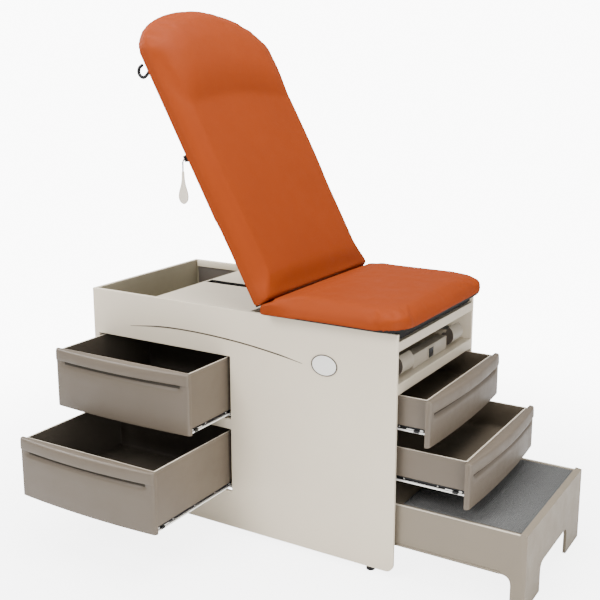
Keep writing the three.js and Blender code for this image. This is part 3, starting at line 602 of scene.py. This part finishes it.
def build_drawers():
    quarter = Matrix.Rotation(math.radians(90), 4, "Z")
    for row in ("side_drawer_upper", "side_drawer_lower", "foot_drawer_upper", "foot_drawer_lower"):
        low, high = box_mm(f"{row}_front")
        box_low, box_high = box_mm(f"{row}_box")
        if row.startswith("side"):
            # The side drawers' insides take the darker copy, painted shade.
            inside = SHADED_INSIDE
            width = high.x - low.x
            place = MM @ Matrix.Translation(((low.x + high.x) / 2, high.y - FRONT, low.z))
            half = (box_high.x - box_low.x) / 2
            depth = box_high.y - (high.y - FRONT)
        else:
            inside = DRAWER_INSIDE
            width = high.y - low.y
            place = MM @ Matrix.Translation((low.x + FRONT, (low.y + high.y) / 2, low.z)) @ quarter
            half = (box_high.y - box_low.y) / 2
            depth = (low.x + FRONT) - box_low.x
        bottom, top = box_low.z - low.z, box_high.z - low.z
        bm = bmesh.new()
        drawer_front(bm, width, high.z - low.z)
        stand_in(f"{row}_front", bm, [DRAWER, SHADED_INSIDE], matrix=place, crease=50)
        bm = bmesh.new()
        drawer_box(bm, half, FRONT + 0.3, depth, bottom, top)
        stand_in(f"{row}_box", bm, [DRAWER, inside, RIM_HIGHLIGHT], matrix=place, crease=50)
        bm = bmesh.new()
        drawer_slides(bm, half, depth, bottom - 0.3)
        stand_in(f"{row}_slides", bm, [WHITE_STEEL, BLACK_STEEL_AND_SHADE], matrix=place)
    for bay in ("side_bay_head", "side_bay_foot", "foot_bay_near", "foot_bay_far"):
        refined(f"{bay}_tracks", 0.6, 2)


# ---- pull-out step ----
def build_step():
    body_low, body_high = box_mm("step_body")
    low, high = box_mm("step_tread")

    def hems(bm):
        """A rolled hem along the foot of each side, and a bead just under the upper edge, coloured pale as a
        painted highlight.
        """
        for sign, y in ((-1, body_low.y), (1, body_high.y)):
            for z, r in ((STEP_SIDE_FOOT + 3.4, 3.4), (STEP_SIDE_FOOT + 12.5, 1.1)):
                out = y + sign * (r * 0.35 - 0.6)
                swept(bm, [Vector((x, out, z)) for x in (body_low.x + 4, body_high.x - 78)], r, 10)
            bead = [Vector((x, y - sign * 5, low.z + 0.2)) for x in (body_low.x + 4, body_high.x - 22)]
            swept(bm, bead, 3.0, 10, index=1)

    refined("step_body", 3.2, 4, mats=[STEP, RIM_HIGHLIGHT], extra=hems)

    # The tread, a rubber sheet with low ribs across it.
    pitch, rib = 6.0, 0.8
    base = high.z - rib
    start, end = low.x + 4, high.x - 4
    count = int((end - start) / pitch)
    one_rib = ((1.8, 0), (2.2, rib * 0.8), (2.6, rib), (4.6, rib), (5.0, rib * 0.8), (5.4, 0))
    profile = [(low.x, low.z), (low.x, base - 0.6), (low.x + 0.8, base)]
    for i in range(count):
        x = start + i * (end - start) / count
        profile += [(x + ahead, base + rise) for ahead, rise in one_rib]
    profile += [(high.x - 0.8, base), (high.x, base - 0.6), (high.x, low.z)]
    rings = [[Vector((x, y, z)) for x, z in profile] for y in (low.y, low.y + 1.5, high.y - 1.5, high.y)]
    for point in rings[0] + rings[-1]:
        point.z = min(point.z, base - 0.8)
    bm = bmesh.new()
    loft(bm, rings)
    stand_in("step_tread", bm)


# ---- cushions ----
def smooth_step(share):
    share = np.clip(share, 0, 1)
    return share * share * (3 - 2 * share)


def roll(distance, radius, power=2.1):
    """Height from 0 at the edge to 1 past the radius, along a rounded shoulder."""
    u = np.clip(distance / radius, 0, 1)
    return (1 - (1 - u) ** power) ** (1 / power)


def distance_to(points, outline, open_x):
    """Distance from each point to a closed outline in the plane, leaving out its edges along x = open_x."""
    best = np.full(len(points), 1e9)
    for a, b in zip(outline, np.roll(outline, -1, axis=0)):
        if abs(a[0] - open_x) < 0.5 and abs(b[0] - open_x) < 0.5:
            continue
        ab = b - a
        t = np.clip(((points - a) @ ab) / max(ab @ ab, 1e-9), 0, 1)
        gap = np.linalg.norm(points - (a + t[:, None] * ab), axis=1)
        best = np.minimum(best, gap)
    return best


def pad_mesh(name, outline, spine, height, thickness, body, replaces, wall, tuck=8.0, extra=None):
    """A cushion from its outline: a flat underside, an upright wall and a top of height(points)."""
    a, b = (np.array(point, dtype=float) for point in spine)
    t = np.clip(((outline - a) @ (b - a)) / ((b - a) @ (b - a)), 0, 1)
    centre = a + t[:, None] * (b - a)
    reach = np.linalg.norm(outline - centre, axis=1)

    def ring(inset, z):
        layer = outline + (centre - outline) * np.clip(inset / reach, 0, 1)[:, None]
        return [Vector((x, y, z)) for x, y in layer]

    rings = [ring(tuck * 3, 0.0), ring(tuck, 0.0), ring(tuck * 0.3, thickness * 0.05),
             ring(0.0, thickness * 0.16), ring(0.0, thickness * 0.5 * wall), ring(0.0, thickness * wall)]
    for share in np.concatenate([np.linspace(0.012, 0.24, 14), np.linspace(0.3, 0.985, 16)]):
        layer = outline + (centre - outline) * share
        rings.append([Vector((x, y, z)) for (x, y), z in zip(layer, height(layer))])
    bm = bmesh.new()
    loft(bm, rings)
    if extra:
        extra(bm)
    bmesh.ops.triangulate(bm, faces=[f for f in bm.faces if len(f.verts) > 4])
    return add(name, bm, body, VINYL, replaces, "upholstery", Matrix.Identity(4), crease=180)


def apply_modifiers(obj):
    graph = bpy.context.evaluated_depsgraph_get()
    made = bpy.data.meshes.new_from_object(obj.evaluated_get(graph))
    made.materials.clear()
    for mat in obj.data.materials:
        made.materials.append(mat)
    obj.modifiers.clear()
    old = obj.data
    obj.data = made
    bpy.data.meshes.remove(old)


def coordinates(mesh):
    flat = np.empty(len(mesh.vertices) * 3)
    mesh.vertices.foreach_get("co", flat)
    return flat.reshape(-1, 3)


def puff(obj, cap, floor=1.2, frames=20):
    """Inflates the pad as cloth with its underside held, and lets no point move further than cap."""
    mesh = obj.data
    before = coordinates(mesh)
    held = [int(i) for i in np.nonzero(before[:, 2] < floor / 1000)[0]]
    group = obj.vertex_groups.new(name="held")
    group.add(held, 1.0, "REPLACE")
    cloth = obj.modifiers.new("Cloth", "CLOTH")
    configure(cloth.settings, vertex_group_mass="held", quality=4, mass=0.35, tension_stiffness=22,
              compression_stiffness=22, shear_stiffness=12, bending_stiffness=3.0, use_pressure=True,
              uniform_pressure_force=4.0)
    configure(cloth.settings.effector_weights, gravity=0.0)
    configure(cloth.point_cache, frame_start=1, frame_end=frames)
    for number in range(1, frames + 1):
        SCENE.frame_set(number)
    graph = bpy.context.evaluated_depsgraph_get()
    move = coordinates(obj.evaluated_get(graph).to_mesh()) - before
    size = np.linalg.norm(move, axis=1)
    limit = cap / 1000
    share = np.where(size > 1e-9, limit * np.tanh(size / limit) / np.maximum(size, 1e-9), 0)
    obj.modifiers.remove(cloth)
    obj.vertex_groups.clear()
    SCENE.frame_set(1)
    mesh.vertices.foreach_set("co", (before + move * share[:, None]).ravel())
    mesh.update()


def soften(mesh, rounds, keep):
    """Evens out the surface, leaving the points in keep where they are."""
    bm = bmesh.new()
    bm.from_mesh(mesh)
    bm.verts.ensure_lookup_table()
    moving = [v for v in bm.verts if not keep[v.index]]
    for _ in range(rounds):
        bmesh.ops.smooth_vert(bm, verts=moving, factor=0.5, use_axis_x=True, use_axis_y=True, use_axis_z=True)
    bm.to_mesh(mesh)
    bm.free()


def finish_pad(obj, matrix, voxel, cap, free, shape=None):
    """Remesh, cloth, smoothing and, if asked, a last shaping, then the pad goes to its place.

    free(points) is 0 where the pad keeps its drawn shape and 1 where the cloth may move it.
    """
    underside = 0.0008
    mesh = obj.data
    mesh.vertices.foreach_set("co", (coordinates(mesh) / 1000).ravel())
    parent = obj.parent
    obj.parent = None
    configure(obj.modifiers.new("Remesh", "REMESH"), mode="VOXEL", voxel_size=voxel / 1000,
              use_smooth_shade=True)
    apply_modifiers(obj)
    mesh = obj.data
    soften(mesh, 2, coordinates(mesh)[:, 2] < underside)
    drawn = coordinates(mesh)
    puff(obj, cap)
    soften(mesh, 6, coordinates(mesh)[:, 2] < underside)
    share = free(drawn * 1000)[:, None]
    coords = (drawn + (coordinates(mesh) - drawn) * share) * 1000
    coords[:, 2] = np.clip(coords[:, 2], 0, None)
    if shape:
        shape(coords)
    mesh.vertices.foreach_set("co", (coords / 1000).ravel())
    mesh.transform(matrix @ Matrix.Scale(1000, 4))
    mesh.update()
    mesh.polygons.foreach_set("use_smooth", [True] * len(mesh.polygons))
    configure(obj.modifiers.new("Subdivision", "SUBSURF"), levels=1, render_levels=1)
    obj.parent = parent


def rounded_outline(points, count=26):
    """A closed outline from (x, y, corner radius) points, going round anticlockwise."""
    out = []
    for i, (x, y, radius) in enumerate(points):
        here = Vector((x, y))
        before = (Vector(points[i - 1][:2]) - here).normalized()
        after = (Vector(points[(i + 1) % len(points)][:2]) - here).normalized()
        angle = before.angle(after)
        reach = radius / math.tan(angle / 2)
        start, end = here + before * reach, here + after * reach
        middle = here + (before + after).normalized() * (radius / math.sin(angle / 2))
        a0 = math.atan2(start.y - middle.y, start.x - middle.x)
        turn = math.atan2(end.y - middle.y, end.x - middle.x) - a0
        turn = (turn + math.pi) % (2 * math.pi) - math.pi
        for k in range(count + 1):
            a = a0 + turn * k / count
            out.append(middle + radius * Vector((math.cos(a), math.sin(a))))
    dense = []
    for i, point in enumerate(out):
        after = out[(i + 1) % len(out)]
        steps = max(1, int((after - point).length / 12))
        dense += [point.lerp(after, k / steps) for k in range(steps)]
    return np.array([(p.x, p.y) for p in dense])


def build_seat():
    low, high = box_mm("seat_cushion")
    thickness = high.z - low.z
    half = (high.y - low.y) / 2 - 2
    rear, front = low.x + 1.0, high.x - 2
    axis = TO_MM @ HINGE
    outline = rounded_outline([(rear, -half, 10), (front, -half, 82), (front, half, 82), (rear, half, 10)])

    def height(points):
        edge = distance_to(points, outline, rear)
        behind = np.maximum(points[:, 0] - rear, 0)
        joint = 1 - smooth_step(behind / 110)
        shoulder = roll(edge, 50 - 24 * joint) * (0.9 + 0.1 * roll(behind, 7))
        crown = 3.0 * (1 - (points[:, 1] / half) ** 2)
        return (thickness - 6) * (0.5 + 0.5 * shoulder) + crown * roll(edge, 160) * roll(behind, 60)

    def corners(bm):
        """The pad's rear corners, under the backrest's lower end beside the hinge."""
        corner_low, corner_high = box_mm("near_seat_corner")
        start = min(abs(corner_low.y), abs(corner_high.y)) + 2
        x0, z1 = corner_low.x - 1.5, corner_high.z - low.z
        section = [(x0 + 5, 0.5), (x0 + 1, 4), (x0, 10), (x0, 22), (x0 + 1, 28), (x0 + 4, 32.5),
                   (x0 + 18, z1 - 6), (x0 + 40, z1 - 1), (x0 + 60, z1 - 3), (x0 + 60, 0.5)]
        rounding = ((start, 0.9), (start + 3, 1.0), (half - 8, 1.0), (half - 3, 0.99), (half, 0.95),
                    (half + 1.6, 0.88))
        middle = Vector((x0 + 30, 0, 16))
        for _, sign in SIDES:
            loft(bm, [[Vector((middle.x + (x - middle.x) * scale, sign * y,
                               middle.z + (z - middle.z) * scale)) for x, z in section]
                      for y, scale in rounding])

    spine = ((rear + 200, -half + 230), (rear + 200, half - 230))
    obj = pad_mesh("seat_pad", outline, spine, height, thickness, "cabinet",
                   ("seat_cushion", "near_seat_corner", "far_seat_corner"), 0.5, extra=corners)

    def shape(coords):
        """Keeps the pad clear of the backrest's lower end as that turns, and above its board."""
        clearance = 8.2
        back_depth = 34
        steepest = math.radians(70.5)
        behind = coords[:, 0] < low.x + 4
        for angle in np.linspace(0, steepest, 24):
            nx, nz = -math.cos(angle), math.sin(angle)
            dx, dz = coords[:, 0] - axis.x, coords[:, 2] + low.z - axis.z
            over = dx * nx + dz * nz - clearance
            reach = dx * math.sin(angle) + dz * math.cos(angle)
            push = np.where(behind & (over > 0) & (reach < back_depth), over, 0)
            coords[:, 0] -= push * nx
            coords[:, 2] -= push * nz
        # The rear wall between the corners leans forward at its foot, clear of the hinge.
        foot = np.clip((low.z + thickness - axis.z - coords[:, 2]) / 34 + 0.75, 0, 1) * 11.0
        wall = rear + foot
        middle = np.abs(coords[:, 1]) < 219
        coords[:, 0] = np.where(middle & (coords[:, 0] < wall), wall, coords[:, 0])
        coords[:, 2] = np.clip(coords[:, 2], 0, None)

    def free(points):
        return smooth_step((points[:, 0] - rear - 6) / 70)

    finish_pad(obj, MM @ Matrix.Translation((0, 0, low.z)), 5, 12, free, shape)
    # A black line of painted shade under the pad, along its lower edge, wider towards the foot.
    obj.data.materials.append(BLACK_BOARD_AND_SHADE)
    for polygon in obj.data.polygons:
        point = TO_MM @ (obj.matrix_world @ polygon.center)
        if point.z - low.z < 3.0 + 6.0 * (point.x - low.x) / (high.x - low.x):
            polygon.material_index = 1


def build_back():
    thickness = BACK_FACE - BACK_REAR
    end = BACK_START + BACK_LENGTH - 2
    half = BACK_HALF - 2
    lower = BACK_START + 1.0
    straight = end - BACK_ROUNDING
    spread = 9.0
    corner = 8

    def half_width(t):
        """The sides spread a little above the hinge and keep that width."""
        return half + float(smooth_step((t - 60) / 420)) * spread

    head = [(-straight + BACK_ROUNDING * math.cos(a), (half + spread) * math.sin(a))
            for a in (math.pi / 2 + math.pi * k / 60 for k in range(61))]
    rows = np.linspace(straight, lower + corner, int((straight - lower) / 12))
    bend = [(lower + corner * (1 - math.sin(a)), -corner * (1 - math.cos(a)))
            for a in (math.pi / 2 * k / 6 for k in range(1, 7))]
    outline = head + [(-t, -half_width(t)) for t in rows[1:]]
    outline += [(-t, -half_width(lower) - inset) for t, inset in bend]
    outline += [(-lower, y) for y in np.linspace(-half + 24, half - 24, 50)]
    outline += [(-t, half_width(lower) + inset) for t, inset in reversed(bend)]
    outline += [(-t, half_width(t)) for t in rows[:0:-1]]
    outline = np.array(outline)

    def height(points):
        """A crowned face with a rolled edge and a pillow above the neck line."""
        edge = distance_to(points, outline, -lower)
        up = -points[:, 0]
        below = np.maximum(up - lower, 0)
        joint = 1 - smooth_step(below / 120)
        shoulder = roll(edge, 62 - 34 * joint, 1.9) * (0.9 + 0.1 * roll(below, 6))
        neck = 706 - 40 * (points[:, 1] / half) ** 2
        rise = 1 - (1 - np.clip((up - neck) / 115, 0, 1)) ** 2
        fall = smooth_step((end - up) / 240)
        across = smooth_step((edge - 12) / 120)
        pillow = 21 * rise * (0.3 + 0.7 * fall) * across
        crown = 2.5 * (1 - (points[:, 1] / half) ** 2) * roll(below, 80)
        return (thickness - 6) * (0.42 + 0.58 * shoulder) + pillow + crown

    def free(points):
        return smooth_step((-points[:, 0] - lower - 6) / 80)

    spine = ((-end + 340, 0), (-lower - 340, 0))
    obj = pad_mesh("back_pad", outline, spine, height, thickness, "backrest", ("back_cushion",), 0.42,
                   tuck=3.0)
    finish_pad(obj, BACK @ Matrix.Translation((0, 0, BACK_REAR)), 6, 10, free)


# ---- boards and what is fixed to the backrest ----
def back_screws(bm, places, radius, height, axis="Z"):
    """Screw heads placed in the backrest's millimetres, on a piece drawn in the cabinet's."""
    before = set(bm.verts)
    for place in places:
        screw(bm, place, radius, height, axis)
    bmesh.ops.transform(bm, matrix=BACK_TO_MM, verts=[v for v in bm.verts if v not in before])


def build_boards():
    refined("seat_board", 1.5)
    refined("leg_extension", 2.0)
    # The round head end of the board has room for the two middle screws only.
    places = [(-t, y, BOARD_REAR) for t in (80, 250, 470, 640, 820, 960) for y in (-250, -90, 90, 250)
              if t <= 900 or abs(y) <= 200]
    refined("back_board", 1.4, extra=lambda bm: back_screws(bm, places, 5.5, -0.2))
    refined("spring_bracket", 1.0)


def build_vinyl_margin():
    """The vinyl's turned-in margin round the board's rear, stapled, and thin enough to clear the deck."""
    straight = BACK_START + BACK_LENGTH - BACK_ROUNDING
    sides = np.linspace(80, straight, 50)
    angles = np.linspace(math.pi / 2, 3 * math.pi / 2, 120)[1:-1]

    def border(inset, n):
        half, rounding = BACK_HALF - inset, BACK_ROUNDING - inset
        path = [Vector((-t, half, n)) for t in sides]
        path += [Vector((-straight + rounding * math.cos(a), half * math.sin(a), n)) for a in angles]
        return path + [Vector((-t, -half, n)) for t in reversed(sides)]

    surface = BOARD_REAR - 0.14
    section = ((20.5, BACK_REAR + 2), (20.2, BOARD_REAR + 0.8), (21, BOARD_REAR), (23, surface),
               (40, surface), (60, BOARD_REAR - 0.12), (61, BOARD_REAR + 0.1), (24, BOARD_REAR + 0.1),
               (22, BACK_REAR + 2))
    bm = bmesh.new()
    loft(bm, list(zip(*(border(inset, n) for inset, n in section))))
    middle = border(50, surface)
    staple = ((-1, -0.08), (1, -0.08), (1, 0.5), (-1, 0.5))
    for here, after in list(zip(middle, middle[1:]))[2:-2:5]:
        along = (after - here).normalized()
        across = Vector((-along.y, along.x, 0)) * 0.7
        loft(bm, [[here + along * reach + across * side + Vector((0, 0, drop)) for side, drop in staple]
                  for reach in (-5, 5)], index=1)
    add("back_vinyl_margin", bm, "backrest", [VINYL, BRIGHT_STEEL], (), "upholstery", BACK, crease=50)


def paper_hook(side, sign):
    """A round hook for the paper roll, bent in world directions from its root on the board."""
    root = BACK_TO_MM @ Vector((HOOK_AT[0], sign * HOOK_AT[1], BOARD_REAR - 4.5))
    bends = ((0, 0, 0), (-14, 0, -17), (-30, 0, -24), (-45, 0, -13), (-44, 0, 4), (-32, 0, 14))
    path = smooth_path([root + Vector(bend) for bend in bends], 7)
    bm = bmesh.new()
    swept(bm, path, 5.6, 16)
    tip = [(0.5, -5.2), (3.2, -4.2), (4.7, -1.6), (5.0, 0.6), (4.2, 3.2), (2.0, 4.8), (0.4, 5.2)]
    turned(bm, tip, path[-1], "Y", 16)
    turned(bm, [(9, -1), (9.6, 0), (9.6, 2.2), (8.6, 3.2), (4.4, 3.6)], root, "Z", 20)
    stand_in(f"{side}_paper_hook", bm)


def release_handle(side, sign):
    """A bent wire that carries a teardrop paddle."""
    pivot = BACK_TO_MM @ Vector((HANDLE_AT[0], sign * HANDLE_AT[1], BOARD_REAR - 14))
    bends = ((-36, 0), (-24, 0), (-13, 0), (-1, -9), (0, -30), (0, -72))
    path = smooth_path([pivot + Vector((0, sign * out, z)) for out, z in bends], 8)
    paddle = ((-40, 3.6, 3.6), (-44, 4.3, 4.2), (-58, 5.0, 4.4), (-70, 6.2, 4.8), (-82, 8.8, 5.2),
              (-94, 13.2, 5.8), (-106, 17.4, 6.2), (-118, 19.4, 6.2), (-128, 18.6, 5.6), (-136, 14.6, 4.6),
              (-141, 9.0, 3.2), (-143.4, 3.0, 1.4))
    bm = bmesh.new()
    swept(bm, path, 2.6, 14, index=1, side=Vector((1, 0.02, 0)))
    loft(bm, [oval(wide, thick, lambda u, v: pivot + Vector((u, v, z)), 28) for z, wide, thick in paddle])
    stand_in(f"{side}_release_handle", bm, [BEIGE, BRIGHT_STEEL], crease=60)


def build_fittings():
    for side, sign in SIDES:
        paper_hook(side, sign)
        release_handle(side, sign)
        places = [(-t, sign * HINGE_ARM_Y, BOARD_REAR - 4.5) for t in (30, 58)]
        refined(f"{side}_hinge_arm", 0.8, extra=lambda bm: back_screws(bm, places, 4.0, 2.2 * sign, "Y"))
        refined(f"{side}_hinge_bracket", 0.8)
    refined("hinge_rod", 0.8)
    refined("gas_spring_cylinder", 1.2, crease=40)
    refined("gas_spring_rod", 0.8, crease=40)
    refined("spring_crossbar", 1.2)


# ---- stirrup compartment ----
def build_stirrups():
    for side, sign in SIDES:
        refined(f"{side}_stirrup_arm", 1.6)
        x, y, z = CUP_SCREWS

        def cheeks(bm):
            """Darker cheeks on the cup, and the screws that it turns on."""
            for face in bm.faces:
                face.material_index = 1 if abs(face.normal.y) > 0.9 and face.calc_area() > 300 else 0
            for away in (-1, 1):
                screw(bm, (x, sign * y + 41 * away, z), 4.2, 2.0 * away, "Y", 1)

        refined(f"{side}_stirrup_cup", 1.0, mats=[HOUSING_AND_SHADE, DARK_PLASTIC_AND_SHADE], extra=cheeks)


def build_socket():
    """The housing between the stirrups, with a power socket in a frame."""
    low, high = box_mm("socket_housing")
    bm = bmesh.new()
    slab(bm, (low.x, high.x), (low.y, high.y), (low.z, high.z), 2.4, 0, 3)
    stand_in("socket_housing", bm, HOUSING_AND_SHADE)
    low, high = box_mm("power_socket")
    middle = (low.y + high.y) / 2
    bm = bmesh.new()
    slab(bm, (low.x - 0.2, low.x + 1.4), (low.y - 5, high.y + 5), (low.z - 8, high.z + 8), 0.6, 1)
    slab(bm, (low.x, high.x - 0.6), (low.y, high.y), (low.z - 4, high.z + 4), 0.8, 0)
    for y in (middle - 9, middle + 9):
        slab(bm, (high.x - 0.8, high.x), (y - 5, y + 5), (low.z + 4, high.z - 4), 0.4, 0)
    stand_in("power_socket", bm, [BLACK_STEEL_AND_SHADE, HOUSING_AND_SHADE])


# ---- camera, lights and floor ----
def build_camera():
    data = bpy.data.cameras.new("camera")
    configure(data, sensor_width=36.0, lens=58.53, shift_x=0.0, shift_y=-0.0358)
    data.dof.use_dof = False
    camera = bpy.data.objects.new("camera", data)
    camera.location = (1.554, -2.590, 1.550)
    camera.rotation_euler = (math.radians(77.479), 0.0, math.radians(31.19))
    SCENE.collection.objects.link(camera)
    SCENE.camera = camera


def build_world():
    """Even light on the object, and a brighter backdrop that only the camera sees."""
    world = bpy.data.worlds.new("studio")
    world.use_nodes = True
    tree = world.node_tree
    tree.nodes.clear()
    light = add_node(tree, "Background", {"Color": WHITE, "Strength": WORLD_LIGHT}).outputs["Background"]
    backdrop = add_node(tree, "Background", {"Color": WHITE, "Strength": BACKDROP}).outputs["Background"]
    ray = add_node(tree, "LightPath").outputs["Is Camera Ray"]
    mix = add_node(tree, "MixShader", {"Fac": ray, 1: light, 2: backdrop}).outputs["Shader"]
    add_node(tree, "OutputWorld", {"Surface": mix})
    SCENE.world = world


def build_lights():
    for name, place, target, size, power in (
            ("key", (-1.2, -3.5, 3.7), (0, 0, 0.6), 1.8, 225),
            ("top", (0.2, 0.2, 4.2), (0, 0, 0.6), 3.0, 300),
            ("side", (3.8, -1.6, 1.0), (0, 0, 0.4), 2.0, 145),
            ("head", (-3.2, -0.2, 3.0), (-0.5, 0, 0.8), 1.6, 130)):
        data = bpy.data.lights.new(name, "AREA")
        configure(data, shape="RECTANGLE", size=size, size_y=size, energy=power)
        light = bpy.data.objects.new(name, data)
        light.location = place
        light.rotation_euler = (Vector(target) - Vector(place)).to_track_quat("-Z", "Y").to_euler()
        SCENE.collection.objects.link(light)


def build_floor():
    """A wide pale floor that fades into the backdrop away from the object."""
    bm = bmesh.new()
    loft(bm, [[Vector((x, y, z)) for x, y in ((-size, -size), (size, -size), (size, size), (-size, size))]
              for size, z in ((60, 0), (60.05, -0.05))])
    floor = mesh_object("studio_floor", bm)
    paint = material("floor_paint", (0.9, 0.9, 0.9, 1.0), 0.8, grain=(60, 0.0004, 0.1), drift=0.004,
                     gloss=0.1)
    floor.data.materials.append(paint)
    tree = paint.node_tree
    out = next(node for node in tree.nodes if node.type == "OUTPUT_MATERIAL")
    surface = next(node for node in tree.nodes if node.type == "BSDF_PRINCIPLED")
    place = add_node(tree, "TexCoord").outputs["Object"]
    far = add_node(tree, "VectorMath", {0: place}, operation="LENGTH").outputs["Value"]
    sockets = {"Value": far, "From Min": 0.7, "From Max": 2.6, "To Min": 0.5}
    fade = add_node(tree, "MapRange", sockets, interpolation_type="SMOOTHSTEP").outputs["Result"]
    ray = add_node(tree, "LightPath").outputs["Is Camera Ray"]
    seen = add_node(tree, "Math", {0: fade, 1: ray}, operation="MULTIPLY").outputs["Value"]
    glow = add_node(tree, "Emission", {"Color": WHITE, "Strength": BACKDROP}).outputs["Emission"]
    mix = add_node(tree, "MixShader", {"Fac": seen, 1: surface.outputs["BSDF"], 2: glow}).outputs["Shader"]
    tree.links.new(mix, out.inputs["Surface"])


build_camera()
build_world()
build_lights()
build_floor()
build_panels()
build_tray()
build_stripe()
build_badge()
build_levelers()
build_drawers()
build_step()
build_seat()
build_back()
build_boards()
build_vinyl_margin()
build_fittings()
build_stirrups()
build_socket()

for node, obj in NODES.items():
    if obj.type == "MESH":
        finish = FINISH_OF_SLOT[SLOT_OF[node]]
        for material_slot in obj.material_slots:
            material_slot.material = finish
